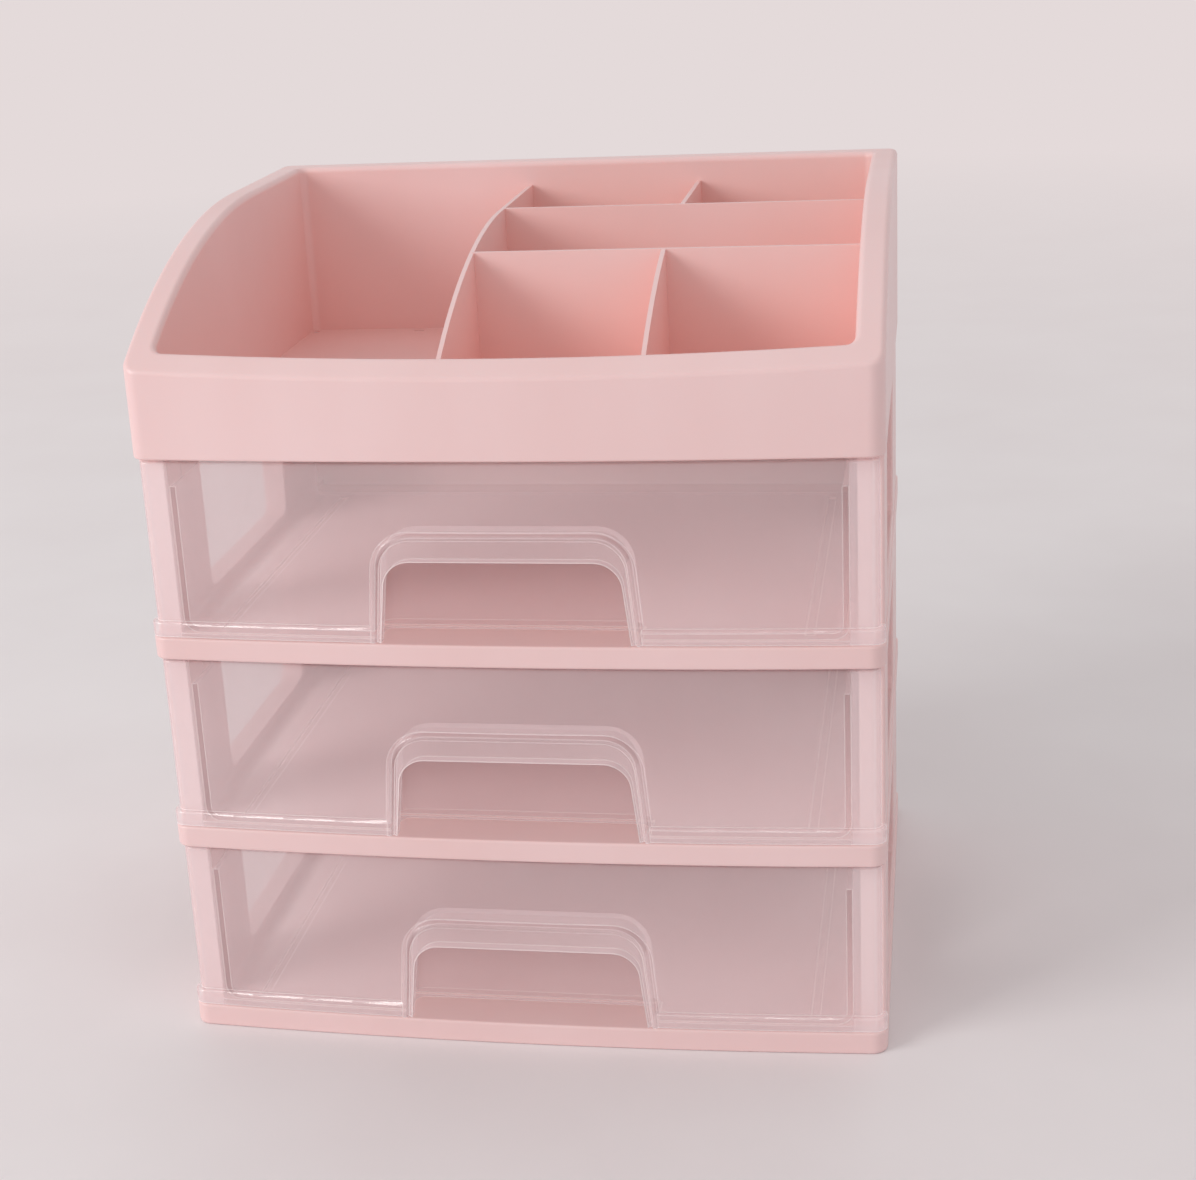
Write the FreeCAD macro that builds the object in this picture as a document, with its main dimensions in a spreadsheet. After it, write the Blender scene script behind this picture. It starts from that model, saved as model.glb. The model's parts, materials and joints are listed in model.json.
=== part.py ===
"""Desktop makeup organizer: a divided tray over three clear drawers.

Millimetres, +Z up, front towards -Y. The origin is on the table, under the middle of
the base. Plates, side frames and back panels push together into the cabinet, the tray
closes it at the top, and each drawer slides out of its bay towards -Y.
"""
import FreeCAD
import Part
import PartDesign
import Sketcher

import math
import os
import re

doc = FreeCAD.newDocument("MakeupOrganizer")

SIZES = {
    # Cabinet
    "width": 240.0,
    "depth": 196.0,
    "front_bow": 4.0,
    "front_corner": 5.5,
    "back_corner": 4.0,
    "base_height": 7.8,
    "shelf_height": 7.6,
    "bay_height": 60.8,
    "plate_skin": 2.2,
    "skirt_wall": 2.2,
    "edge_round": 0.8,
    "rib_wall": 1.6,
    "rib_x": 40.0,
    "rib_relief": 1.0,
    # Tray
    "tray_front_height": 26.6,
    "tray_back_height": 66.6,
    "tray_flat_length": 71.0,
    "tray_floor": 2.2,
    "tray_skin": 2.2,
    "rim_width": 9.3,
    "rim_round": 2.0,
    "rim_cap": 3.0,
    "basin_corner": 3.0,
    "divider_wall": 1.5,
    "divider_lead": 6.0,
    "divider_drop": 9.0,
    "long_divider_x": -19.3,
    "front_cross_y": 76.0,
    "rear_cross_y": 132.0,
    # Side frames
    "frame_inset": 0.6,
    "frame_wall": 8.2,
    "frame_front": 10.0,
    "frame_back_inset": 8.0,
    "frame_skin": 2.2,
    "frame_flange": 2.0,
    "front_post": 33.0,
    "rear_post": 57.0,
    "frame_rail": 4.0,
    "window_corner": 4.0,
    "frame_round": 1.2,
    "window_round": 0.8,
    "peg_length": 18.0,
    "peg_wall": 3.6,
    "peg_rise": 4.0,
    "peg_clearance": 0.3,
    # Back panels
    "panel_wall": 2.4,
    "panel_inset": 12.6,
    "panel_gap": 0.4,
    "panel_rail": 8.0,
    "pin_diameter": 2.2,
    "pin_rise": 2.0,
    "top_pin_inset": 2.2,
    "low_pin_inset": 24.0,
    "tab_inset": 44.3,
    "tab_length": 3.4,
    "tab_wall": 1.4,
    # Drawers
    "apron_recess": 1.8,
    "apron_wall": 2.0,
    "apron_gap": 0.6,
    "apron_corner": 3.2,
    "apron_top_gap": 1.0,
    "lip_recess": 0.2,
    "lip_height": 5.0,
    "lip_corner": 4.4,
    "drawer_lift": 0.5,
    "box_side_gap": 2.6,
    "box_back_room": 16.0,
    "box_height": 51.0,
    "box_wall": 1.8,
    "box_floor": 1.8,
    "box_corner": 6.0,
    "box_heel": 5.0,
    "skid_inset": 12.6,
    "skid_wall": 3.0,
    "skid_height": 1.0,
    "skid_gap": 0.25,
    # Finger pull
    "pull_half_foot": 40.6,
    "pull_half_head": 37.6,
    "pull_height": 27.9,
    "pull_corner": 9.0,
    "niche_half_foot": 42.0,
    "niche_half_head": 39.0,
    "niche_height": 34.8,
    "niche_corner": 10.6,
    "niche_back": 14.6,
    "niche_wall": 1.6,
    "niche_round": 3.0,
    "bead_root": 3.0,
    "bead_outer": 1.8,
    "bead_inner": 0.6,
    "bead_proud": 1.6,
    "bead_round": 0.5,
    "visor_low_proud": 0.4,
    "visor_proud": 1.5,
    "visor_trim": 0.4,
}

LEVELS = ("lower", "middle", "upper")
SIDES = {"left": -1, "right": 1}

sheet = doc.addObject("Spreadsheet::Sheet", "Dims")
for row, (alias, size) in enumerate(SIZES.items(), start=1):
    sheet.set(f"A{row}", alias)
    sheet.set(f"B{row}", str(size))
    sheet.setAlias(f"B{row}", alias)
doc.recompute()

WORD = re.compile(r"[a-z][a-z_]*")


def bound(text):
    """Return an expression with each size name pointing at its cell."""
    return WORD.sub(lambda word: f"Dims.{word[0]}" if word[0] in SIZES else word[0], text)


def number(text):
    """Return the value of an expression in size names."""
    return float(sheet.evalExpression(bound(text)))


def bind(owner, prop, text):
    """Tie a property to an expression in size names."""
    owner.setExpression(prop, bound(text))


# Places that several pieces share, as expressions in size names

FRONT = "(0 - depth / 2)"
BOW_RADIUS = "((width ^ 2 / 4 + front_bow ^ 2) / (2 * front_bow))"
FRAME_OUTER = "(width / 2 - frame_inset)"
FRAME_INNER = "(width / 2 - frame_inset - frame_wall)"
PEG_MIDDLE = "(width / 2 - frame_inset - frame_wall / 2)"
BASIN_HALF = "(width / 2 - rim_width)"
RISE_RUN = "(depth - tray_flat_length)"
RISE_DROP = "(tray_back_height - tray_front_height)"
RISE_RADIUS = f"(({RISE_RUN} ^ 2 + {RISE_DROP} ^ 2) / (2 * {RISE_DROP}))"
PEG_CHANNEL = f"({PEG_MIDDLE} - peg_wall / 2 - peg_clearance)"
PEG_HOLE_LENGTH = "peg_length + 2 * peg_clearance"
PEG_HOLE_WALL = "peg_wall + 2 * peg_clearance"
PIN_HOLE_RADIUS = "pin_diameter / 2 + peg_clearance"
PIN_HOLE_DEPTH = "pin_rise + peg_clearance"
PANEL_HALF = f"({FRAME_INNER} - panel_gap)"
PANEL_ROW = "(depth / 2 - panel_inset - panel_wall / 2)"
TOP_PIN_X = f"({PANEL_HALF} - top_pin_inset)"
LOW_PIN_X = f"({PANEL_HALF} - low_pin_inset)"
TAB_X = f"({PANEL_HALF} - tab_inset)"
BOX_HALF = f"({FRAME_INNER} - box_side_gap)"
BOX_BACK = "(depth / 2 - panel_inset - panel_wall - box_back_room)"
BOX_LOW = "(skid_gap + skid_height)"
APRON_MIDDLE = "(apron_recess + apron_wall / 2)"
APRON_INNER = "(apron_recess + apron_wall)"
OVERCUT = "1"
NEAR = 1e-6
CLOSE = 1e-3


def from_front(text):
    """Return the Y expression of a distance behind the front of the cabinet."""
    return f"({FRONT} + {text})"


FRAME_FRONT = from_front("frame_front")
FRAME_BACK = "(depth / 2 - frame_back_inset)"
PEG_ROWS = (f"({FRAME_FRONT} + front_post / 2)", f"({FRAME_BACK} - rear_post / 2)")
APRON_END = from_front("(frame_front - apron_gap)")


def bow_at(half_width, inset):
    """Return the Y expression of the bowed front, moved back by inset, at a half width."""
    radius = f"({BOW_RADIUS} - ({inset}))"
    return f"({FRONT} + {BOW_RADIUS} - sqrt({radius} ^ 2 - ({half_width}) ^ 2))"


def bay_floor(level):
    """Return the Z expression of the plate top under a bay."""
    return f"(base_height + {level} * (bay_height + shelf_height))"


def rise_at(distance, drop):
    """Return the Z expression of the tray's rim, above its foot, at a distance from the front."""
    back = f"({RISE_RUN} - ({distance}))"
    return f"(tray_back_height - ({drop}) - {RISE_RADIUS} + sqrt({RISE_RADIUS} ^ 2 - {back} ^ 2))"


class Piece:
    """A solid body made of sketches and features, with its sizes bound to the sheet."""

    def __init__(self, label, lift="0"):
        self.body = doc.addObject("PartDesign::Body", label)
        self.body.Label = label
        bind(self.body, "Placement.Base.z", lift)
        self.planes = {plane.Role: plane for plane in self.body.Origin.OriginFeatures}

    def sketch(self, plane, offset, loops):
        """Add a sketch on an origin plane, moved along the plane's normal.

        A loop is a list of corners (x, y) or (x, y, radius): a radius makes the edge
        that arrives at the corner an arc, and a minus sign turns it the other way.
        A loop that is a single (x, y, radius) is a circle.
        """
        sketch = self.body.newObject("Sketcher::SketchObject", "Outline")
        sketch.AttachmentSupport = [(self.planes[plane], "")]
        sketch.MapMode = "FlatFace"
        bind(sketch, "AttachmentOffset.Base.z", offset)
        for loop in loops:
            if isinstance(loop, tuple):
                add_circle(sketch, loop)
            else:
                add_loop(sketch, loop)
        return sketch

    def feature(self, kind, sketch, length, reverse=False):
        """Add a pad or pocket on a sketch and make sure that it changed the solid."""
        before = self.volume()
        feature = self.body.newObject(f"PartDesign::{kind}", kind)
        feature.Profile = sketch
        feature.Reversed = reverse
        bind(feature, "Length", length)
        doc.recompute()
        change = self.volume() - before
        if change * (1 if kind == "Pad" else -1) <= 0:
            raise RuntimeError(f"{self.body.Label}: {kind} changed the volume by {change:.3f}")
        return feature

    def pad(self, plane, offset, loops, length, reverse=False):
        """Add material from a sketch along the plane's normal."""
        return self.feature("Pad", self.sketch(plane, offset, loops), length, reverse)

    def cut(self, plane, offset, loops, length, reverse=False):
        """Take material from a sketch along the plane's normal."""
        return self.feature("Pocket", self.sketch(plane, offset, loops), length, not reverse)

    def loft(self, plane, sections, take=False):
        """Add, or take away, a ruled solid through outlines at several offsets."""
        before = self.volume()
        sketches = [self.sketch(plane, offset, [loop]) for offset, loop in sections]
        kind = "SubtractiveLoft" if take else "AdditiveLoft"
        loft = self.body.newObject(f"PartDesign::{kind}", kind)
        loft.Profile = sketches[0]
        loft.Sections = sketches[1:]
        loft.Ruled = True
        doc.recompute()
        change = self.volume() - before
        if change * (-1 if take else 1) <= 0:
            raise RuntimeError(f"{self.body.Label}: {kind} changed the volume by {change:.3f}")
        return loft

    def fillet(self, radius, chosen):
        """Round the edges that a test chooses."""
        base = self.body.Tip
        names = [f"Edge{i}" for i, edge in enumerate(base.Shape.Edges, 1) if chosen(edge)]
        if not names:
            raise RuntimeError(f"{self.body.Label}: no edge to round")
        fillet = self.body.newObject("PartDesign::Fillet", "Fillet")
        fillet.Base = (base, names)
        bind(fillet, "Radius", radius)
        doc.recompute()
        return fillet

    def volume(self):
        """Return the volume so far, 0 before the first feature."""
        tip = self.body.Tip
        return tip.Shape.Volume if tip is not None and not tip.Shape.isNull() else 0.0


def add_circle(sketch, circle):
    """Add a circle whose centre and radius follow their expressions."""
    x, y, radius = circle
    centre = FreeCAD.Vector(number(x), number(y), 0)
    index = sketch.addGeometry(Part.Circle(centre, FreeCAD.Vector(0, 0, 1), number(radius)))
    pin(sketch, "DistanceX", index, 3, x)
    pin(sketch, "DistanceY", index, 3, y)
    ring = sketch.addConstraint(Sketcher.Constraint("Radius", index, number(radius)))
    bind(sketch, f"Constraints[{ring}]", radius)


def add_loop(sketch, loop):
    """Add a closed outline of lines and arcs whose corners follow their expressions."""
    points = [FreeCAD.Vector(number(corner[0]), number(corner[1]), 0) for corner in loop]
    edges = []
    for i, corner in enumerate(loop):
        start = points[i - 1]
        end = points[i]
        if len(corner) == 2:
            edges.append((sketch.addGeometry(Part.LineSegment(start, end)), 1, 2))
            continue
        arc, turns_left = arc_between(start, end, number(corner[2]))
        index = sketch.addGeometry(arc)
        edges.append((index, 1, 2) if turns_left else (index, 2, 1))
        ring = sketch.addConstraint(Sketcher.Constraint("Radius", index, arc.Radius))
        bind(sketch, f"Constraints[{ring}]", f"abs({corner[2]})")
    for i, corner in enumerate(loop):
        edge, _, end = edges[i]
        following, start, _ = edges[(i + 1) % len(edges)]
        sketch.addConstraint(Sketcher.Constraint("Coincident", edge, end, following, start))
        pin(sketch, "DistanceX", edge, end, corner[0])
        pin(sketch, "DistanceY", edge, end, corner[1])


def pin(sketch, kind, edge, vertex, text):
    """Hold one coordinate of a sketch point at an expression."""
    origin = (-1, 1)
    index = sketch.addConstraint(Sketcher.Constraint(kind, *origin, edge, vertex, number(text)))
    bind(sketch, f"Constraints[{index}]", text)


def arc_between(start, end, radius):
    """Return the short arc between two points and whether it turns left.

    A positive radius turns left on the way from start to end, a negative one right.
    """
    chord = end - start
    half = chord.Length / 2
    left = FreeCAD.Vector(-chord.y, chord.x, 0).normalize()
    turn = 1 if radius > 0 else -1
    centre = (start + end) * 0.5 + left * (turn * math.sqrt(radius * radius - half * half))
    angles = [math.atan2(point.y - centre.y, point.x - centre.x) for point in (start, end)]
    circle = Part.Circle(centre, FreeCAD.Vector(0, 0, 1), abs(radius))
    if turn > 0:
        return Part.ArcOfCircle(circle, angles[0], angles[1]), True
    return Part.ArcOfCircle(circle, angles[1], angles[0]), False


def box_loop(left, right, low, high):
    """Return a rectangle as a loop."""
    return [(left, low), (right, low), (right, high), (left, high)]


def plate_loop(inset):
    """Return the plan of the cabinet, bowed at the front, moved in by inset."""
    half = f"(width / 2 - ({inset}))"
    back = f"(depth / 2 - ({inset}))"
    corner = bow_at(half, inset)
    return [
        (f"0 - {half}", corner),
        (half, corner, f"{BOW_RADIUS} - ({inset})"),
        (half, back),
        (f"0 - {half}", back),
    ]


def upright(edge):
    """Tell whether an edge is straight and vertical."""
    first, last = edge.Vertexes[0].Point, edge.Vertexes[-1].Point
    flat = abs(first.x - last.x) < NEAR and abs(first.y - last.y) < NEAR
    return flat and abs(first.z - last.z) > NEAR


def point_along(edge, share):
    """Return the point at a share of the way along an edge."""
    return edge.valueAt(edge.FirstParameter + share * (edge.LastParameter - edge.FirstParameter))


def middle(edge):
    """Return the point halfway along an edge."""
    return point_along(edge, 0.5)


def at_height(edge, text):
    """Tell whether an edge lies level at a height."""
    height = number(text)
    box = edge.BoundBox
    return abs(box.ZMin - height) < NEAR and abs(box.ZMax - height) < NEAR


def on_side(edge, text):
    """Tell whether the middle of an edge lies at a distance to the left or right."""
    return abs(abs(middle(edge).x) - number(text)) < NEAR


def round_outline(piece):
    """Round the four upright corners of a plate."""
    piece.fillet("front_corner", lambda edge: upright(edge) and middle(edge).y < 0)
    piece.fillet(
        "back_corner",
        lambda edge: upright(edge) and on_side(edge, "width / 2") and middle(edge).y > 0,
    )


def rectangle(x, y, length_x, length_y):
    """Return a rectangle about a middle point as a loop."""
    return box_loop(
        f"{x} - ({length_x}) / 2",
        f"{x} + ({length_x}) / 2",
        f"{y} - ({length_y}) / 2",
        f"{y} + ({length_y}) / 2",
    )


def rounded_box_loop(left, right, low, high, radius):
    """Return a rectangle with round corners as a loop."""
    return [
        (f"{right} - {radius}", low),
        (right, f"{low} + {radius}", radius),
        (right, f"{high} - {radius}"),
        (f"{right} - {radius}", high, radius),
        (f"{left} + {radius}", high),
        (left, f"{high} - {radius}", radius),
        (left, f"{low} + {radius}"),
        (f"{left} + {radius}", low, radius),
    ]


def mirrored(text):
    """Return an X expression and its opposite."""
    return (text, f"(0 - {text})")


# Plates

def panel_top_holes():
    """Return the loops of the holes that take the pins and tabs on top of a back panel."""
    length = "tab_length + 2 * peg_clearance"
    wall = "tab_wall + 2 * peg_clearance"
    pins = [(x, PANEL_ROW, PIN_HOLE_RADIUS) for x in mirrored(TOP_PIN_X)]
    tabs = [rectangle(x, PANEL_ROW, length, wall) for x in mirrored(TAB_X)]
    return pins + tabs


def add_plate_ribs(plate, hollow):
    """Add the ribs under a plate: two beside the pegs, two between and one across."""
    depth = f"{hollow} - rib_relief"
    front = bow_at("width / 2", "skirt_wall")
    back = "(depth / 2 - skirt_wall)"
    for x in mirrored(f"({PEG_CHANNEL} - rib_wall / 2)") + mirrored("rib_x"):
        rib = box_loop(f"{x} - rib_wall / 2", f"{x} + rib_wall / 2", front, back)
        plate.pad("XY_Plane", "rib_relief", [rib], depth)
    across = rectangle("0", "0", f"2 * ({PEG_CHANNEL} - rib_wall)", "rib_wall")
    plate.pad("XY_Plane", "rib_relief", [across], depth)


def make_plate(label, height, lift, panel_below):
    """Make the base or a shelf: a skirted plate, hollow below, with ribs and peg holes."""
    plate = Piece(label, lift)
    hollow = f"({height} - plate_skin)"
    plate.pad("XY_Plane", "0", [plate_loop("0")], height)
    round_outline(plate)
    plate.fillet("edge_round", lambda edge: at_height(edge, "0") or at_height(edge, height))
    plate.cut("XY_Plane", "0", [plate_loop("skirt_wall")], hollow)
    add_plate_ribs(plate, hollow)
    if panel_below:
        rail = rectangle("0", PANEL_ROW, f"2 * ({PEG_CHANNEL} - rib_wall)", "panel_rail")
        plate.pad("XY_Plane", "0", [rail], hollow)
        plate.cut("XY_Plane", "0", panel_top_holes(), PIN_HOLE_DEPTH)
    spots = [(x, y) for x in mirrored(PEG_MIDDLE) for y in PEG_ROWS]
    pegs = [rectangle(x, y, PEG_HOLE_WALL, PEG_HOLE_LENGTH) for x, y in spots]
    plate.cut("XY_Plane", height, pegs, "plate_skin", reverse=True)
    pins = [(x, PANEL_ROW, PIN_HOLE_RADIUS) for x in mirrored(LOW_PIN_X)]
    plate.cut("XY_Plane", height, pins, PIN_HOLE_DEPTH, reverse=True)
    return plate


# Side frames and back panels

def make_side_frame(label, level, side):
    """Make one side of a bay: two posts round a window, hollow towards the drawer."""
    frame = Piece(label, bay_floor(level))
    ends = (f"({FRAME_FRONT} + front_post)", f"({FRAME_BACK} - rear_post)")
    rails = ("frame_rail", "(bay_height - frame_rail)")
    outer = box_loop(FRAME_FRONT, FRAME_BACK, "0", "bay_height")
    window = rounded_box_loop(*ends, *rails, "window_corner")
    start = FRAME_INNER if side > 0 else f"(0 - {FRAME_OUTER})"
    frame.pad("YZ_Plane", start, [outer, window], "frame_wall")
    near_end, far_end, low_rail, high_rail = (number(place) for place in ends + rails)

    def at_window(edge):
        place = middle(edge)
        along = near_end - NEAR < place.y < far_end + NEAR
        return along and low_rail - NEAR < place.z < high_rail + NEAR and on_side(edge, FRAME_OUTER)

    def at_outline(edge):
        return upright(edge) and on_side(edge, FRAME_OUTER) and not at_window(edge)

    frame.fillet("frame_round", at_outline)
    frame.fillet("window_round", at_window)
    inner = FRAME_INNER if side > 0 else f"(0 - {FRAME_INNER})"
    for near, far in ((FRAME_FRONT, ends[0]), (ends[1], FRAME_BACK)):
        reach = (f"{near} + frame_flange", f"{far} - frame_flange")
        recess = box_loop(*reach, "frame_flange", "bay_height - frame_flange")
        frame.cut("YZ_Plane", inner, [recess], "frame_wall - frame_skin", reverse=side < 0)
    peg_x = PEG_MIDDLE if side > 0 else f"(0 - {PEG_MIDDLE})"
    pegs = [rectangle(peg_x, y, "peg_wall", "peg_length") for y in PEG_ROWS]
    frame.pad("XY_Plane", "bay_height", pegs, "peg_rise")
    frame.pad("XY_Plane", "0", pegs, "plate_skin", reverse=True)
    return frame


def make_back_panel(label, level):
    """Make the panel that closes a bay at the back, with its pins and tabs."""
    panel = Piece(label, bay_floor(level))
    sheet_plan = rectangle("0", PANEL_ROW, f"2 * {PANEL_HALF}", "panel_wall")
    panel.pad("XY_Plane", "0", [sheet_plan], "bay_height")
    top_pins = [(x, PANEL_ROW, "pin_diameter / 2") for x in mirrored(TOP_PIN_X)]
    tabs = [rectangle(x, PANEL_ROW, "tab_length", "tab_wall") for x in mirrored(TAB_X)]
    low_pins = [(x, PANEL_ROW, "pin_diameter / 2") for x in mirrored(LOW_PIN_X)]
    panel.pad("XY_Plane", "bay_height", top_pins + tabs, "pin_rise")
    panel.pad("XY_Plane", "0", low_pins, "pin_rise", reverse=True)
    return panel


# Tray

def rise_loop(near, far, low, drop, lead="0"):
    """Return a side view under the tray's rim, between two distances from the front.

    The top follows the rim at a drop below it; a lead is a straight stretch at the near end.
    """
    flat = f"(tray_back_height - ({drop}))"
    turn = f"({near} + {lead})"
    if number(turn) > number(RISE_RUN):
        return box_loop(from_front(near), from_front(far), low, flat)
    loop = [(from_front(near), low), (from_front(far), low)]
    if number(far) > number(RISE_RUN):
        loop.append((from_front(far), flat))
        loop.append((from_front(RISE_RUN), flat))
    else:
        loop.append((from_front(far), rise_at(far, drop)))
    loop.append((from_front(turn), rise_at(turn, drop), RISE_RADIUS))
    if number(lead) > 0:
        loop.append((from_front(near), rise_at(near, drop)))
    return loop


def on_rim(edge):
    """Tell whether an edge runs along the top of the rim, and not across it."""
    for share in (0.0, 0.5, 1.0):
        point = point_along(edge, share)
        distance = min(point.y - number(FRONT), number(RISE_RUN))
        if abs(point.z - number(rise_at(repr(distance), "0"))) > CLOSE:
            return False
    box = edge.BoundBox
    return box.YLength > NEAR or box.XLength > number("rim_width") + NEAR


def hollow_tray_walls(tray):
    """Open the walls from below, leaving a skin on each side and a cap under the rim."""
    gap = "rim_width - 2 * tray_skin"
    side = rise_loop("rim_width", "(depth - rim_width)", "0", "rim_cap")
    for start in (f"{BASIN_HALF} + tray_skin", "0 - width / 2 + tray_skin"):
        tray.cut("YZ_Plane", start, [side], gap)
    insets = ("tray_skin", "(rim_width - tray_skin)")
    outer, inner = (bow_at(BASIN_HALF, inset) for inset in insets)
    front = [
        (f"0 - {BASIN_HALF}", outer),
        (BASIN_HALF, outer, f"{BOW_RADIUS} - {insets[0]}"),
        (BASIN_HALF, inner),
        (f"0 - {BASIN_HALF}", inner, f"0 - ({BOW_RADIUS} - {insets[1]})"),
    ]
    tray.cut("XY_Plane", "0", [front], "tray_front_height - rim_cap")
    back = rectangle("0", "(depth / 2 - rim_width / 2)", f"2 * {BASIN_HALF}", gap)
    tray.cut("XY_Plane", "0", [back], "tray_back_height - rim_cap")


def add_dividers(tray):
    """Add the long divider, the two across it and the two short ones."""
    wall_root = "tray_skin / 2"
    floor_root = "tray_floor / 2"
    near = f"(rim_width - {wall_root})"
    far = f"(depth - rim_width + {wall_root})"
    short_x = f"((long_divider_x + {BASIN_HALF}) / 2)"
    spans = (
        ("long_divider_x", near, far),
        (short_x, near, "front_cross_y"),
        (short_x, "rear_cross_y", far),
    )
    for x, start, end in spans:
        view = rise_loop(start, end, floor_root, "divider_drop", "divider_lead")
        tray.pad("YZ_Plane", f"{x} - divider_wall / 2", [view], "divider_wall")
    for distance in ("front_cross_y", "rear_cross_y"):
        row = from_front(distance)
        reach = ("long_divider_x", f"{BASIN_HALF} + {wall_root}")
        plan = box_loop(*reach, f"{row} - divider_wall / 2", f"{row} + divider_wall / 2")
        top = cross_top(distance)
        tray.pad("XY_Plane", floor_root, [plan], f"{top} - {floor_root}")


def cross_top(distance):
    """Return the height of a divider that runs across the tray at a distance from the front."""
    if number(distance) > number(RISE_RUN):
        return "(tray_back_height - divider_drop)"
    return rise_at(distance, "divider_drop")


def make_tray():
    """Make the tray: hollow walls under a rim that rises to the back, and moulded dividers."""
    tray = Piece("top_tray", f"({bay_floor(len(LEVELS))} - shelf_height)")
    tray.pad("XY_Plane", "0", [plate_loop("0")], "tray_back_height")
    round_outline(tray)
    above = [
        (from_front("0"), "tray_front_height"),
        (from_front(RISE_RUN), "tray_back_height", f"0 - {RISE_RADIUS}"),
        (from_front(RISE_RUN), f"tray_back_height + {OVERCUT}"),
        (from_front("0"), f"tray_back_height + {OVERCUT}"),
    ]
    tray.cut("YZ_Plane", f"0 - width / 2 - {OVERCUT}", [above], f"width + 2 * {OVERCUT}")
    tray.cut("XY_Plane", "tray_floor", [plate_loop("rim_width")], "tray_back_height")
    tray.fillet("basin_corner", lambda edge: upright(edge) and on_side(edge, BASIN_HALF))
    add_dividers(tray)
    tray.fillet("rim_round", on_rim)
    tray.fillet("edge_round", lambda edge: at_height(edge, "0"))
    hollow_tray_walls(tray)
    tray.cut("XY_Plane", "0", panel_top_holes(), "tray_floor")
    return tray


# Drawers

def apron_loop(inset, wall):
    """Return the plan of a bowed strip with short ends turned back round the corners."""
    outer_half = f"(width / 2 - {inset})"
    inner_half = f"(width / 2 - {inset} - {wall})"
    outer = bow_at(outer_half, inset)
    inner = bow_at(inner_half, f"{inset} + {wall}")
    return [
        (f"0 - {outer_half}", outer),
        (outer_half, outer, f"{BOW_RADIUS} - {inset}"),
        (outer_half, APRON_END),
        (inner_half, APRON_END),
        (inner_half, inner),
        (f"0 - {inner_half}", inner, f"0 - ({BOW_RADIUS} - {inset} - {wall})"),
        (f"0 - {inner_half}", APRON_END),
        (f"0 - {outer_half}", APRON_END),
    ]


def pull_loop(name, grow="0", below="0"):
    """Return an arch, seen from the front, from a set of finger pull sizes.

    It can grow by a margin all round, and its legs can run on below their foot.
    """
    half_foot = f"({name}_half_foot + {grow})"
    half_head = f"({name}_half_head + {grow})"
    height = f"({name}_height + {grow})"
    corner = f"({name}_corner + {grow})"
    slope = f"(({half_foot} - {half_head}) / ({height} - drawer_lift))"
    lean = f"atan({slope})"
    setback = f"({corner} / tan(45 deg + {lean} / 2))"
    side = f"({half_head} + {setback} * sin({lean}))"
    shoulder = f"({height} - {setback} * cos({lean}))"
    head = f"({half_head} - {setback})"
    foot = f"({half_foot} + {slope} * {below})"
    foot_height = f"(drawer_lift - {below})"
    return [
        (foot, foot_height),
        (side, shoulder),
        (head, height, corner),
        (f"0 - {head}", height),
        (f"0 - {side}", shoulder, corner),
        (f"0 - {foot}", foot_height),
    ]


def drawer_box_loop(inset, front_inset):
    """Return the plan of a drawer's box, bowed at the front, with its sides and back moved in."""
    half = f"({BOX_HALF} - {inset})"
    front = bow_at(half, front_inset)
    back = f"({BOX_BACK} - {inset})"
    corner = f"(box_corner - {inset})"
    return [
        (f"0 - {half}", front),
        (half, front, f"{BOW_RADIUS} - {front_inset}"),
        (half, f"{back} - {corner}"),
        (f"{half} - {corner}", back, corner),
        (f"{corner} - {half}", back),
        (f"0 - {half}", f"{back} - {corner}", corner),
    ]


def add_box(drawer):
    """Add the open box of a drawer, round at its heel and back corners."""
    rise = f"box_height - {BOX_LOW}"
    drawer.pad("XY_Plane", BOX_LOW, [drawer_box_loop("0", APRON_MIDDLE)], rise)
    round_heel(drawer, BOX_LOW, "0")
    floor = f"({BOX_LOW} + box_floor)"
    drawer.cut("XY_Plane", floor, [drawer_box_loop("box_wall", APRON_INNER)], rise)
    round_heel(drawer, floor, "box_wall")


def round_heel(drawer, height, inset):
    """Round the bottom edges of a drawer's box, but not the front one."""
    front = number(FRAME_FRONT)
    drawer.fillet(
        f"box_heel - {inset}",
        lambda edge: at_height(edge, height) and middle(edge).y > front,
    )


def add_apron(drawer):
    """Add the bowed apron across the front of the box and the lip along its foot."""
    top = "(bay_height - apron_top_gap)"
    rise = f"{top} - drawer_lift"
    drawer.pad("XY_Plane", "drawer_lift", [apron_loop("apron_recess", "apron_wall")], rise)
    round_apron(drawer, "apron_recess", "apron_corner", top)
    lip_wall = f"({APRON_MIDDLE} - lip_recess)"
    drawer.pad("XY_Plane", "drawer_lift", [apron_loop("lip_recess", lip_wall)], "lip_height")
    round_apron(drawer, "lip_recess", "lip_corner", "(drawer_lift + lip_height)")


def round_apron(drawer, inset, corner, top):
    """Round the front corners of a bowed strip, then the front edge of its top."""
    half = f"(width / 2 - {inset})"
    corner_y = number(bow_at(half, inset))
    drawer.fillet(
        corner,
        lambda edge: upright(edge) and on_side(edge, half) and abs(middle(edge).y - corner_y) < NEAR,
    )
    crown = number(from_front(inset)) + CLOSE
    drawer.fillet("edge_round", lambda edge: at_height(edge, top) and middle(edge).y < crown)


def lies_at(edge, y):
    """Tell whether an edge lies in the upright plane at a Y."""
    box = edge.BoundBox
    return abs(box.YMin - y) < CLOSE and abs(box.YMax - y) < CLOSE


def round_arch(drawer, radius, distance, foot):
    """Round the edges of an arch in the upright plane at a distance, above a foot."""
    y = number(from_front(distance))
    low = number(foot) + CLOSE
    drawer.fillet(radius, lambda edge: lies_at(edge, y) and middle(edge).z > low)


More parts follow.
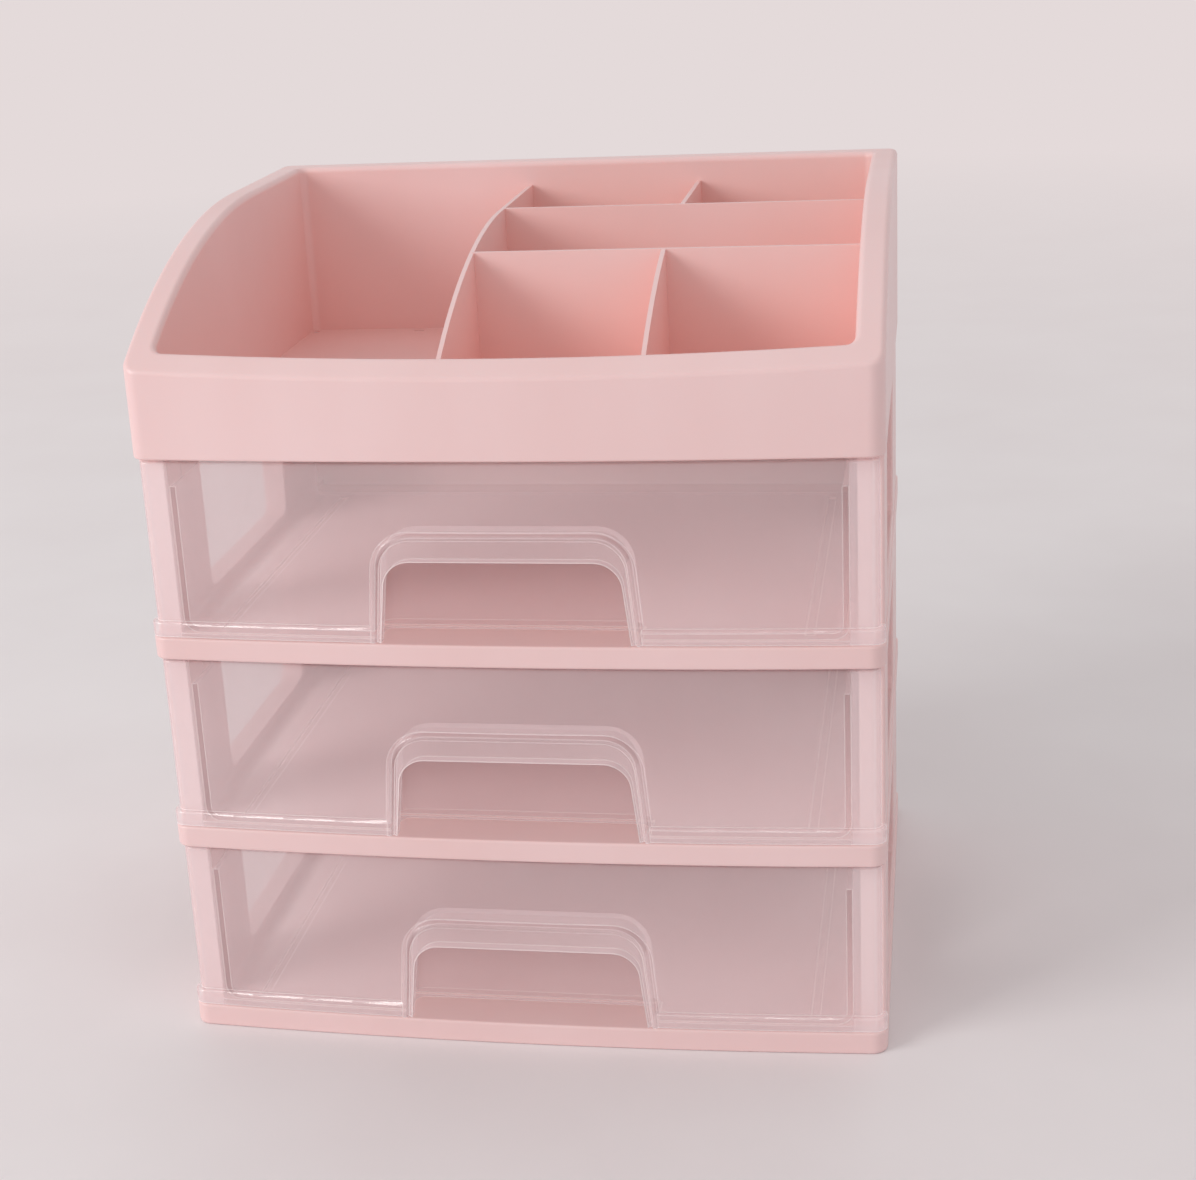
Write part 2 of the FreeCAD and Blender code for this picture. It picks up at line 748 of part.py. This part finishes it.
def add_niche(drawer):
    """Add the walls of the finger niche behind the apron and hollow it from below."""
    back = "(niche_back + niche_wall)"
    walls = pull_loop("niche", "niche_wall")
    drawer.pad("XZ_Plane", f"depth / 2 - {back}", [walls], f"{back} - {APRON_MIDDLE}")
    round_arch(drawer, "niche_round + niche_wall", back, f"{BOX_LOW} + box_floor")
    front = bow_at("niche_half_foot", APRON_INNER)
    hollow = pull_loop("niche", below=OVERCUT)
    reach = f"{from_front('niche_back')} - {front}"
    drawer.cut("XZ_Plane", f"0 - {front}", [hollow], reach, reverse=True)
    round_arch(drawer, "niche_round", "niche_back", "drawer_lift")


def add_finger_pull(drawer):
    """Add an arched bead and the visor inside it, then cut the finger opening."""
    crest = "(apron_recess - bead_proud)"
    visor = "(apron_recess - visor_low_proud)"
    tip = "(apron_recess - visor_proud)"

    def section(distance, loop):
        return (f"depth / 2 - {distance}", loop)

    bead = [
        section(APRON_MIDDLE, pull_loop("niche", "bead_root")),
        section(crest, pull_loop("niche", "bead_outer")),
    ]
    drawer.loft("XZ_Plane", bead)
    dip = [section(crest, pull_loop("niche", "bead_inner")), section(visor, pull_loop("niche"))]
    drawer.loft("XZ_Plane", dip, take=True)
    round_arch(drawer, "bead_round", crest, "drawer_lift")
    hood = [
        section(APRON_MIDDLE, pull_loop("niche")),
        section(visor, pull_loop("niche")),
        section(tip, pull_loop("pull", "(0 - visor_trim)")),
    ]
    drawer.loft("XZ_Plane", hood)
    opening = pull_loop("pull", below=OVERCUT)
    start = f"depth / 2 + {OVERCUT}"
    drawer.cut("XZ_Plane", start, [opening], f"niche_back / 2 + {OVERCUT}", reverse=True)


def make_drawer(label, level):
    """Make a clear drawer, one moulding that slides on two skids."""
    drawer = Piece(label, bay_floor(level))
    add_box(drawer)
    add_apron(drawer)
    add_niche(drawer)
    add_finger_pull(drawer)
    ends = (FRAME_FRONT, f"{BOX_BACK} - box_corner")
    skids = [
        box_loop(f"{x} - skid_wall / 2", f"{x} + skid_wall / 2", *ends)
        for x in mirrored(f"({BOX_HALF} - skid_inset)")
    ]
    drawer.pad("XY_Plane", "skid_gap", skids, "skid_height + box_floor / 2")
    return drawer


# The whole organizer

pieces = [make_plate("base_plate", "base_height", "0", False)]
for level, name in enumerate(("lower_shelf", "upper_shelf"), start=1):
    pieces.append(make_plate(name, "shelf_height", f"({bay_floor(level)} - shelf_height)", True))
for level, name in enumerate(LEVELS):
    for side, sign in SIDES.items():
        pieces.append(make_side_frame(f"side_frame_{side}_{name}", level, sign))
    pieces.append(make_back_panel(f"back_panel_{name}", level))
    pieces.append(make_drawer(f"drawer_{name}", level))
pieces.append(make_tray())

doc.recompute()
failed = [item.Name for item in doc.Objects if "Invalid" in item.State or "Error" in item.State]
if failed:
    raise RuntimeError(f"failed objects: {failed}")
for piece in pieces:
    shape = piece.body.Shape
    if shape.isNull() or not shape.isValid() or len(shape.Solids) != 1:
        raise RuntimeError(f"{piece.body.Label}: not one valid solid")

os.makedirs("parts", exist_ok=True)
for piece in pieces:
    shape = piece.body.Shape
    shape.exportStep(f"parts/{piece.body.Label}.step")
    print(f"{piece.body.Label}: {shape.Volume:.0f} mm3, {shape.BoundBox}")
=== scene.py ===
"""Looks of a desktop makeup organizer: pink moulded cabinet, clear drawers, plain studio."""
import json
import logging
import math
from dataclasses import dataclass, field
from enum import Enum
from typing import Any, Mapping, Sequence, Union

import bpy
from mathutils import Matrix, Vector

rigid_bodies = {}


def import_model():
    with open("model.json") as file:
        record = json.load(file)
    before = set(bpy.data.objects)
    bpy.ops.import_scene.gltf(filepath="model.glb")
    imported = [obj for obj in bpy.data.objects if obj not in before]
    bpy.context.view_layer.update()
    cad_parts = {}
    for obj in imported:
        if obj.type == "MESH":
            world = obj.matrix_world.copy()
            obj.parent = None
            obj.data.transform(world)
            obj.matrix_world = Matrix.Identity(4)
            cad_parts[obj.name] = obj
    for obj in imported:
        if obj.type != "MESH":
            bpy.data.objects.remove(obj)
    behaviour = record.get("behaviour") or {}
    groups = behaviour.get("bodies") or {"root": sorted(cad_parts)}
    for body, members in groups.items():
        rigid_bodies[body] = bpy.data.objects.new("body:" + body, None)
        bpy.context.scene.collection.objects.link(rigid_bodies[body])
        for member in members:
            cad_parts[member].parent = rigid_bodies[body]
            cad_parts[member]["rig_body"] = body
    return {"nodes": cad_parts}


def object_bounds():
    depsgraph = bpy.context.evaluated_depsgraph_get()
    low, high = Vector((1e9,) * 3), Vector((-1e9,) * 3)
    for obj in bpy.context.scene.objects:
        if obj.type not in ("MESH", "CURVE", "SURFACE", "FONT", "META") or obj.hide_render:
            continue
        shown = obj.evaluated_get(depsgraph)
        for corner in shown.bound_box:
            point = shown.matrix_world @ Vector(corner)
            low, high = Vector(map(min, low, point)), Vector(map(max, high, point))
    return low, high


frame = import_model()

Colour = tuple[float, float, float, float]

log = logging.getLogger("organizer")
CAD_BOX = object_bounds()
MILLIMETRE = 0.001
PLASTIC_INDEX = 1.49
NOISE_MIDDLE = 0.5
RAYS_PER_LOOKUP = 6
CLEAR_WALLS_IN_A_ROW = 32

# The Mix node has one set of sockets for each kind of data; these are its colour sockets.
MIX_FACTOR, MIX_FIRST, MIX_SECOND, MIX_RESULT = 0, 6, 7, 2


def linear(red: int, green: int, blue: int) -> Colour:
    """Turn a screen colour into the linear colour that a shader takes.

    Args:
        red: Red, 0 to 255.
        green: Green, 0 to 255.
        blue: Blue, 0 to 255.

    Returns:
        The linear colour with an alpha of 1.
    """
    def channel(level: int) -> float:
        """Return one channel by the usual screen curve, 0 to 1."""
        share = level / 255.0
        return share / 12.92 if share <= 0.04045 else ((share + 0.055) / 1.055) ** 2.4

    return channel(red), channel(green), channel(blue), 1.0


class Wave(Enum):
    """The grain of a noise pattern, in repeats per metre."""

    CLOUD = 9.0
    FLOW = 34.0
    SMUDGE = 70.0
    GRAIN = 2600.0


class Value:
    """A shader socket that can be used in Python expressions."""

    def __init__(self, graph: "Graph", socket: bpy.types.NodeSocket) -> None:
        """Wrap one output socket of a graph."""
        self.graph = graph
        self.socket = socket

    def math(self, operation: str, first: Any, second: Any) -> "Value":
        """Add a Math node.

        Args:
            operation: The Math node's operation.
            first: The first value or number.
            second: The second value or number.

        Returns:
            The node's result.
        """
        node = self.graph.node("ShaderNodeMath", {"operation": operation}, {0: first, 1: second})
        return Value(self.graph, node.outputs[0])

    def __add__(self, other: Any) -> "Value":
        """Return self + other."""
        return self.math("ADD", self, other)

    def __radd__(self, other: Any) -> "Value":
        """Return other + self."""
        return self.math("ADD", other, self)

    def __sub__(self, other: Any) -> "Value":
        """Return self - other."""
        return self.math("SUBTRACT", self, other)

    def __rsub__(self, other: Any) -> "Value":
        """Return other - self."""
        return self.math("SUBTRACT", other, self)

    def __mul__(self, other: Any) -> "Value":
        """Return self * other."""
        return self.math("MULTIPLY", self, other)

    def __rmul__(self, other: Any) -> "Value":
        """Return other * self."""
        return self.math("MULTIPLY", other, self)

    def __abs__(self) -> "Value":
        """Return self without its sign."""
        return self.math("ABSOLUTE", self, 0.0)

    def clipped(self) -> "Value":
        """Return the value, held between 0 and 1."""
        floored = self.math("MAXIMUM", self, 0.0)
        return self.math("MINIMUM", floored, 1.0)


class Graph:
    """The nodes of one material or world."""

    def __init__(self, tree: bpy.types.NodeTree) -> None:
        """Start from an empty node tree."""
        self.tree = tree
        self.tree.nodes.clear()

    def node(
        self,
        kind: str,
        settings: Mapping[str, Any] | None = None,
        inputs: Mapping[Union[int, str], Any] | None = None,
    ) -> bpy.types.Node:
        """Add a node, set it up and then feed its sockets.

        Args:
            kind: The node's type.
            settings: Its own settings; "stops" holds a ramp's (place, colour) pairs.
            inputs: What each socket gets: a value, another node's socket or a number.

        Returns:
            The new node.
        """
        made = self.tree.nodes.new(kind)
        for name, setting in (settings or {}).items():
            if name == "stops":
                self.set_stops(made.color_ramp, setting)
            else:
                setattr(made, name, setting)
        for name, given in (inputs or {}).items():
            socket = made.inputs[name]
            if isinstance(given, Value):
                self.tree.links.new(given.socket, socket)
            elif isinstance(given, bpy.types.NodeSocket):
                self.tree.links.new(given, socket)
            else:
                socket.default_value = given
        return made

    @staticmethod
    def set_stops(ramp: bpy.types.ColorRamp, stops: Sequence[tuple[float, Colour]]) -> None:
        """Give a colour ramp its stops.

        Args:
            ramp: The ramp of a fresh Color Ramp node.
            stops: Each stop's place and colour, at least two.
        """
        while len(ramp.elements) < len(stops):
            ramp.elements.new(1.0)
        for element, (place, colour) in zip(ramp.elements, stops):
            element.position = place
            element.color = colour

    def noise(
        self, wave: Wave, detail: float, stretch: Sequence[float] = (1.0, 1.0, 1.0)
    ) -> Value:
        """Add noise that is fixed to the object.

        Args:
            wave: The grain of the noise.
            detail: How many finer layers it has.
            stretch: How much it is squeezed along X, Y and Z.

        Returns:
            The noise, about 0.5 on average.
        """
        place = self.node("ShaderNodeTexCoord")
        mapped = self.node(
            "ShaderNodeMapping",
            inputs={"Vector": place.outputs["Object"], "Scale": tuple(stretch)},
        )
        made = self.node(
            "ShaderNodeTexNoise",
            inputs={"Vector": mapped.outputs["Vector"], "Scale": wave.value, "Detail": detail},
        )
        return Value(self, made.outputs["Fac"])

    def ramp(self, factor: Value, stops: Sequence[tuple[float, Colour]]) -> bpy.types.NodeSocket:
        """Add a colour ramp.

        Args:
            factor: What runs along the ramp.
            stops: Each stop's place and colour.

        Returns:
            The ramp's colour.
        """
        return self.node("ShaderNodeValToRGB", {"stops": stops}, {"Fac": factor}).outputs["Color"]

    def bump(self, height: Value, strength: float, distance: float) -> bpy.types.NodeSocket:
        """Add a bump.

        Args:
            height: The height pattern, 0 to 1.
            strength: How much of the bump is used.
            distance: How tall the pattern is, in metres.

        Returns:
            The bumped normal.
        """
        made = self.node(
            "ShaderNodeBump",
            inputs={"Height": height, "Strength": strength, "Distance": distance},
        )
        return made.outputs["Normal"]

    def blend(self, factor: Value, first: Any, second: Any) -> bpy.types.NodeSocket:
        """Mix two colours.

        Args:
            factor: The share of the second colour, 0 to 1.
            first: The first colour or socket.
            second: The second colour or socket.

        Returns:
            The mixed colour.
        """
        made = self.node(
            "ShaderNodeMix",
            {"data_type": "RGBA"},
            {MIX_FACTOR: factor, MIX_FIRST: first, MIX_SECOND: second},
        )
        return made.outputs[MIX_RESULT]

    def mix_shaders(
        self, factor: Value, first: bpy.types.Node, second: bpy.types.Node
    ) -> bpy.types.NodeSocket:
        """Mix the shaders of two nodes.

        Args:
            factor: The share of the second shader, 0 to 1.
            first: The node of the first shader.
            second: The node of the second shader.

        Returns:
            The mixed shader.
        """
        made = self.node(
            "ShaderNodeMixShader",
            inputs={0: factor, 1: first.outputs[0], 2: second.outputs[0]},
        )
        return made.outputs[0]

    def edges(self, width: float) -> Value:
        """Find the edges of a solid, from how far a rounded normal turns from the face; this is
        the mask for painted edge highlights.

        Args:
            width: How far the edge reaches into each face, in metres.

        Returns:
            About 0.3 on a square edge and 0 away from it.
        """
        rounded = self.node("ShaderNodeBevel", {"samples": RAYS_PER_LOOKUP}, {"Radius": width})
        face = self.node("ShaderNodeNewGeometry")
        turn = self.node(
            "ShaderNodeVectorMath",
            {"operation": "DOT_PRODUCT"},
            {0: rounded.outputs["Normal"], 1: face.outputs["Normal"]},
        )
        return 1.0 - Value(self, turn.outputs["Value"])

    def nooks(self, reach: float) -> Value:
        """Find how much of the surroundings is hidden by the object itself, the mask for painted
        shade.

        Args:
            reach: How far it looks, in metres.

        Returns:
            0 on an open face, nearer to 1 deep in a hollow.
        """
        open_sky = self.node(
            "ShaderNodeAmbientOcclusion", {"samples": RAYS_PER_LOOKUP}, {"Distance": reach}
        )
        return 1.0 - Value(self, open_sky.outputs["AO"])

    def place(self) -> list[Value]:
        """Return the object's own X, Y and Z, in metres."""
        place = self.node("ShaderNodeTexCoord")
        parts = self.node("ShaderNodeSeparateXYZ", inputs={0: place.outputs["Object"]})
        return [Value(self, socket) for socket in parts.outputs]

    def distance(self) -> Value:
        """Return how far a point is from the object's own origin, in metres."""
        place = self.node("ShaderNodeTexCoord")
        made = self.node(
            "ShaderNodeVectorMath", {"operation": "LENGTH"}, {0: place.outputs["Object"]}
        )
        return Value(self, made.outputs["Value"])

    def rays(self, *kinds: str) -> Value:
        """Find rays of some kinds.

        Args:
            kinds: Output names of the Light Path node.

        Returns:
            1 for a ray of one of these kinds and 0 for others.
        """
        path = self.node("ShaderNodeLightPath")
        first, *others = (Value(self, path.outputs[kind]) for kind in kinds)
        return sum(others, start=first).clipped()

    def seen(self) -> Value:
        """Return 1 for rays from the camera, a gloss or a clear wall, and 0 for others."""
        return self.rays("Is Camera Ray", "Is Glossy Ray", "Is Transmission Ray")

    def output(self, kind: str, socket: bpy.types.NodeSocket) -> None:
        """Feed the tree's output node.

        Args:
            kind: The output node's type.
            socket: The shader that it shows.
        """
        self.node(kind, inputs={"Surface": socket})


def blank_material(name: str) -> tuple[bpy.types.Material, Graph]:
    """Make a material without nodes.

    Args:
        name: The material's name.

    Returns:
        The material and its empty graph.
    """
    made = bpy.data.materials.new(name)
    made.use_nodes = True
    return made, Graph(made.node_tree)


def put_on(node: bpy.types.Object, material: bpy.types.Material) -> None:
    """Replace the material slots of an object.

    Args:
        node: The object.
        material: Its new material.
    """
    for slot in node.material_slots:
        slot.material = material
    if not node.material_slots:
        node.data.materials.append(material)


@dataclass(frozen=True)
class ShellFinish:
    """Smooth, satin-glossy moulded plastic with a faint flow pattern, a fine grain and a painted
    shade in its nooks.
    """

    name: str = "pink_moulded_plastic"
    pale: Colour = linear(237, 206, 206)
    deep: Colour = linear(233, 198, 197)
    deep_below: float = 0.34
    pale_above: float = 0.66
    cloud_share: float = 0.65
    flow_stretch: tuple[float, float, float] = (1.0, 0.6, 0.25)
    # Painted shade: a deeper, warmer pink blended in where the object hides its surroundings,
    # standing in for shade and light bounced inside its nooks.
    painted_nook_shade: Colour = linear(238, 204, 203)
    painted_shade_reach: float = 70.0 * MILLIMETRE
    roughness: float = 0.34
    roughness_spread: float = 0.16
    grain_height: float = 0.02 * MILLIMETRE
    grain_strength: float = 0.35
    subsurface: float = 0.06
    subsurface_reach: tuple[float, float, float] = (1.0, 0.45, 0.35)
    subsurface_scale: float = 2.0 * MILLIMETRE

    def material(self) -> bpy.types.Material:
        """Make the material.

        Returns:
            The finished material.
        """
        made, graph = blank_material(self.name)
        cloud = graph.noise(Wave.CLOUD, detail=2.0)
        flow = graph.noise(Wave.FLOW, detail=3.0, stretch=self.flow_stretch)
        tone = cloud * self.cloud_share + flow * (1.0 - self.cloud_share)
        face = graph.ramp(tone, [(self.deep_below, self.deep), (self.pale_above, self.pale)])
        # Painted shade, blended into the base colour by how hidden each point is.
        colour = graph.blend(graph.nooks(self.painted_shade_reach), face, self.painted_nook_shade)
        smudge = graph.noise(Wave.SMUDGE, detail=4.0)
        rough = (smudge - NOISE_MIDDLE) * self.roughness_spread + self.roughness
        grain = graph.noise(Wave.GRAIN, detail=2.0)
        shader = graph.node(
            "ShaderNodeBsdfPrincipled",
            inputs={
                "Base Color": colour,
                "Roughness": rough,
                "IOR": PLASTIC_INDEX,
                "Subsurface Weight": self.subsurface,
                "Subsurface Radius": self.subsurface_reach,
                "Subsurface Scale": self.subsurface_scale,
                "Normal": graph.bump(grain, self.grain_strength, self.grain_height),
            },
        )
        graph.output("ShaderNodeOutputMaterial", shader.outputs["BSDF"])
        return made


@dataclass(frozen=True)
class ClearFinish:
    """Clear moulded plastic with a thin milky haze, denser where a wall is seen edge on, and
    painted highlights along its edges.
    """

    name: str = "clear_moulded_plastic"
    milky: Colour = linear(240, 219, 222)
    cloudy: Colour = linear(235, 211, 214)
    cloudy_below: float = 0.35
    milky_above: float = 0.65
    # Painted highlight: near-white colour laid along every edge, standing in for the light that
    # clear plastic edges catch.
    edge: Colour = linear(255, 246, 247)
    haze: float = 0.05
    haze_spread: float = 0.02
    front_haze: float = 0.19
    end_haze: float = 0.14
    proud_haze: float = 0.08
    front_half_depth: float = 98.0 * MILLIMETRE
    front_bow_radius: float = 1802.0 * MILLIMETRE
    front_wall: float = 4.2 * MILLIMETRE
    proud_wall: float = 1.7 * MILLIMETRE
    box_half_width: float = 108.7 * MILLIMETRE
    soft_step: float = 0.4 * MILLIMETRE
    glance_haze: float = 0.45
    edge_width: float = 0.7 * MILLIMETRE
    edge_gain: float = 5.0
    edge_highlight_share: float = 0.45
    roughness: float = 0.13
    roughness_spread: float = 0.08
    sheen_index: float = 2.3
    wave_height: float = 0.08 * MILLIMETRE
    wave_strength: float = 0.25

    def material(self) -> bpy.types.Material:
        """Make the material.

        Returns:
            The finished material.
        """
        made, graph = blank_material(self.name)
        cloud = graph.noise(Wave.CLOUD, detail=2.0)
        colour = graph.ramp(
            cloud, [(self.cloudy_below, self.cloudy), (self.milky_above, self.milky)]
        )
        smudge = graph.noise(Wave.SMUDGE, detail=4.0)
        rough = (smudge - NOISE_MIDDLE) * self.roughness_spread + self.roughness
        wave = graph.noise(Wave.FLOW, detail=1.0)
        normal = graph.bump(wave, self.wave_strength, self.wave_height)
        gloss = graph.node("ShaderNodeFresnel", inputs={"IOR": PLASTIC_INDEX, "Normal": normal})
        glance = Value(graph, gloss.outputs[0])
        veil = (smudge - NOISE_MIDDLE) * self.haze_spread + self.haze + self.front_veil(graph)
        # Painted highlight: the edge mask whitens the base colour and makes the edges more
        # opaque.
        edge = (graph.edges(self.edge_width) * self.edge_gain).clipped()
        alpha = veil + glance * self.glance_haze + edge * self.edge_highlight_share
        plastic = graph.node(
            "ShaderNodeBsdfPrincipled",
            inputs={
                "Base Color": graph.blend(edge, colour, self.edge),
                "Roughness": rough,
                "IOR": self.sheen_index,
                "Alpha": alpha.clipped(),
                "Normal": normal,
            },
        )
        clear = graph.node("ShaderNodeBsdfTransparent")
        light = graph.rays("Is Shadow Ray", "Is Diffuse Ray")
        graph.output("ShaderNodeOutputMaterial", graph.mix_shaders(light, plastic, clear))
        return made

    def front_veil(self, graph: Graph) -> Value:
        """Make the extra haze of the thick front: its wall, turned ends and raised parts.

        Args:
            graph: The material's nodes.

        Returns:
            The haze to add, 0 behind the front.
        """
        x, y, _ = graph.place()
        behind = y + self.front_half_depth - x * x * (0.5 / self.front_bow_radius)
        sharp = 1.0 / self.soft_step
        wall = ((self.front_wall - behind) * sharp).clipped()
        proud = ((self.proud_wall - behind) * sharp).clipped()
        end = ((abs(x) - self.box_half_width) * sharp).clipped()
        return wall * self.front_haze + proud * self.proud_haze + end * self.end_haze


@dataclass(frozen=True)
class FloorFinish:
    """A plain pale table top that fades into the pale room far behind the object."""

    name: str = "pale_table"
    pale: Colour = linear(236, 232, 234)
    deep: Colour = linear(232, 227, 229)
    deep_below: float = 0.3
    pale_above: float = 0.7
    room: Colour = linear(228, 218, 218)
    roughness: float = 0.55
    fade_from: float = 0.45
    fade_length: float = 1.6

    def material(self) -> bpy.types.Material:
        """Make the material.

        Returns:
            The finished material.
        """
        made, graph = blank_material(self.name)
        cloud = graph.noise(Wave.CLOUD, detail=3.0)
        colour = graph.ramp(cloud, [(self.deep_below, self.deep), (self.pale_above, self.pale)])
        top = graph.node(
            "ShaderNodeBsdfPrincipled",
            inputs={"Base Color": colour, "Roughness": self.roughness},
        )
        glow = graph.node("ShaderNodeEmission", inputs={"Color": self.room, "Strength": 1.0})
        far = ((graph.distance() - self.fade_from) * (1.0 / self.fade_length)).clipped()
        shown = graph.mix_shaders(far * graph.seen(), top, glow)
        graph.output("ShaderNodeOutputMaterial", shown)
        return made


@dataclass
class Cabinet:
    """The pink pieces: base, shelves, tray, side frames and back panels."""

    finish: ShellFinish = field(default_factory=ShellFinish)
    # The tray's copy of the finish carries a stronger painted shade: a warmer, deeper pink in its
    # nooks.
    tray_painted_shade_finish: ShellFinish = field(
        default_factory=lambda: ShellFinish(name="pink_tray_plastic_painted_shade", painted_nook_shade=linear(252, 200, 192))
    )
    tray: str = "top_tray"
    body: str = "cabinet"

    def dress(self) -> None:
        """Give every piece of the cabinet its finish; the tray gets a stronger painted shade in
        its nooks.
        """
        plain = self.finish.material()
        tray = self.tray_painted_shade_finish.material()
        for name, node in frame["nodes"].items():
            if node["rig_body"] == self.body:
                put_on(node, tray if name == self.tray else plain)
                log.info("dressed %s", name)


@dataclass
class Drawers:
    """The clear drawers, one in each bay."""

    finish: ClearFinish = field(default_factory=ClearFinish)
    names: tuple[str, ...] = ("drawer_lower", "drawer_middle", "drawer_upper")

    def dress(self) -> None:
        """Give the drawers the finish that they share."""
        clear = self.finish.material()
        for name in self.names:
            put_on(frame["nodes"][name], clear)
            log.info("dressed %s", name)


@dataclass
class Lamp:
    """A soft rectangular lamp."""

    name: str
    place: tuple[float, float, float]
    size: tuple[float, float]
    power: float
    colour: tuple[float, float, float]

    def hang(self, target: Vector) -> None:
        """Add the lamp and turn it to the object.

        Args:
            target: The point that it faces.
        """
        bpy.ops.object.select_all(action="DESELECT")
        bpy.ops.object.light_add(type="AREA", location=self.place)
        lamp = bpy.context.object
        lamp.name = self.name
        lamp.rotation_mode = "QUATERNION"
        lamp.rotation_quaternion = (target - Vector(self.place)).to_track_quat("-Z", "Y")
        lamp.data.shape = "RECTANGLE"
        lamp.data.size, lamp.data.size_y = self.size
        lamp.data.energy = self.power
        lamp.data.color = self.colour
        log.info("hung %s", self.name)


@dataclass
class Studio:
    """The table, the lamps and the pale surroundings."""

    floor_size: float = 160.0
    floor_finish: FloorFinish = field(default_factory=FloorFinish)
    backdrop: Colour = linear(228, 218, 218)
    ambient: Colour = (1.0, 0.985, 0.975, 1.0)
    ambient_strength: float = 0.68
    lamps: Sequence[Lamp] = (
        Lamp("key_lamp", (-1.9, -1.35, 1.15), (1.2, 1.2), 29.0, (1.0, 0.98, 0.96)),
        Lamp("fill_lamp", (1.5, -1.2, 0.9), (1.4, 1.4), 1.0, (0.96, 0.98, 1.0)),
    )

    def build(self) -> None:
        """Make the table top, the lamps and the world."""
        self.lay_floor()
        target = (CAD_BOX[0] + CAD_BOX[1]) / 2
        for lamp in self.lamps:
            lamp.hang(target)
        self.light_world()

    def lay_floor(self) -> None:
        """Add the table top."""
        bpy.ops.object.select_all(action="DESELECT")
        bpy.ops.mesh.primitive_plane_add(size=self.floor_size)
        floor = bpy.context.object
        floor.name = "table_top"
        put_on(floor, self.floor_finish.material())
        log.info("laid %s", floor.name)

    def light_world(self) -> None:
        """Light the surroundings, pale where a ray sees them directly."""
        world = bpy.data.worlds.new("pale_room")
        bpy.context.scene.world = world
        world.use_nodes = True
        graph = Graph(world.node_tree)
        lit = graph.node(
            "ShaderNodeBackground",
            inputs={"Color": self.ambient, "Strength": self.ambient_strength},
        )
        shown = graph.node(
            "ShaderNodeBackground", inputs={"Color": self.backdrop, "Strength": 1.0}
        )
        graph.output("ShaderNodeOutputWorld", graph.mix_shaders(graph.seen(), lit, shown))


@dataclass
class Viewpoint:
    """The camera, at the place that fits the object's edges in the photograph.

    Angles are in degrees; focal, centre and frame_size are in the photograph's pixels.
    """

    place: tuple[float, float, float] = (0.1348, -0.7091, 0.3806)
    yaw: float = 10.65
    pitch: float = 18.19
    roll: float = 3.10
    focal: float = 2100.0
    centre: tuple[float, float] = (561.0, 552.5)
    frame_size: tuple[float, float] = (1196.0, 1180.0)
    sensor: float = 36.0
    nearest: float = 0.01
    farthest: float = 100.0

    def build(self) -> None:
        """Add the camera and make it the scene's own."""
        bpy.ops.object.camera_add()
        camera = bpy.context.object
        camera.name = "viewpoint"
        camera.matrix_world = Matrix.Translation(self.place) @ self.turn()
        width, height = self.frame_size
        lens = camera.data
        lens.sensor_fit = "HORIZONTAL"
        lens.sensor_width = self.sensor
        lens.lens = self.focal * self.sensor / width
        lens.shift_x = (width / 2 - self.centre[0]) / width
        lens.shift_y = (self.centre[1] - height / 2) / width
        lens.clip_start = self.nearest
        lens.clip_end = self.farthest
        bpy.context.scene.camera = camera
        log.info("set up %s", camera.name)

    def turn(self) -> Matrix:
        """Work out how the camera is turned.

        Returns:
            The rotation, with the camera looking along its own -Z.
        """
        yaw, pitch, roll = (math.radians(angle) for angle in (self.yaw, self.pitch, self.roll))
        ahead = Vector(
            (-math.sin(yaw) * math.cos(pitch), math.cos(yaw) * math.cos(pitch), -math.sin(pitch))
        )
        level = Vector((math.cos(yaw), math.sin(yaw), 0.0))
        below = ahead.cross(level)
        right = math.cos(roll) * level + math.sin(roll) * below
        down = math.cos(roll) * below - math.sin(roll) * level
        return Matrix((right, -down, -ahead)).transposed().to_4x4()


def main() -> None:
    """Dress the organizer and set up the studio."""
    logging.basicConfig(level=logging.INFO, format="%(name)s: %(message)s")
    bpy.context.scene.view_settings.view_transform = "Standard"
    bpy.context.scene.cycles.transparent_max_bounces = CLEAR_WALLS_IN_A_ROW
    Cabinet().dress()
    Drawers().dress()
    Studio().build()
    Viewpoint().build()


if __name__ == "__main__":
    main()
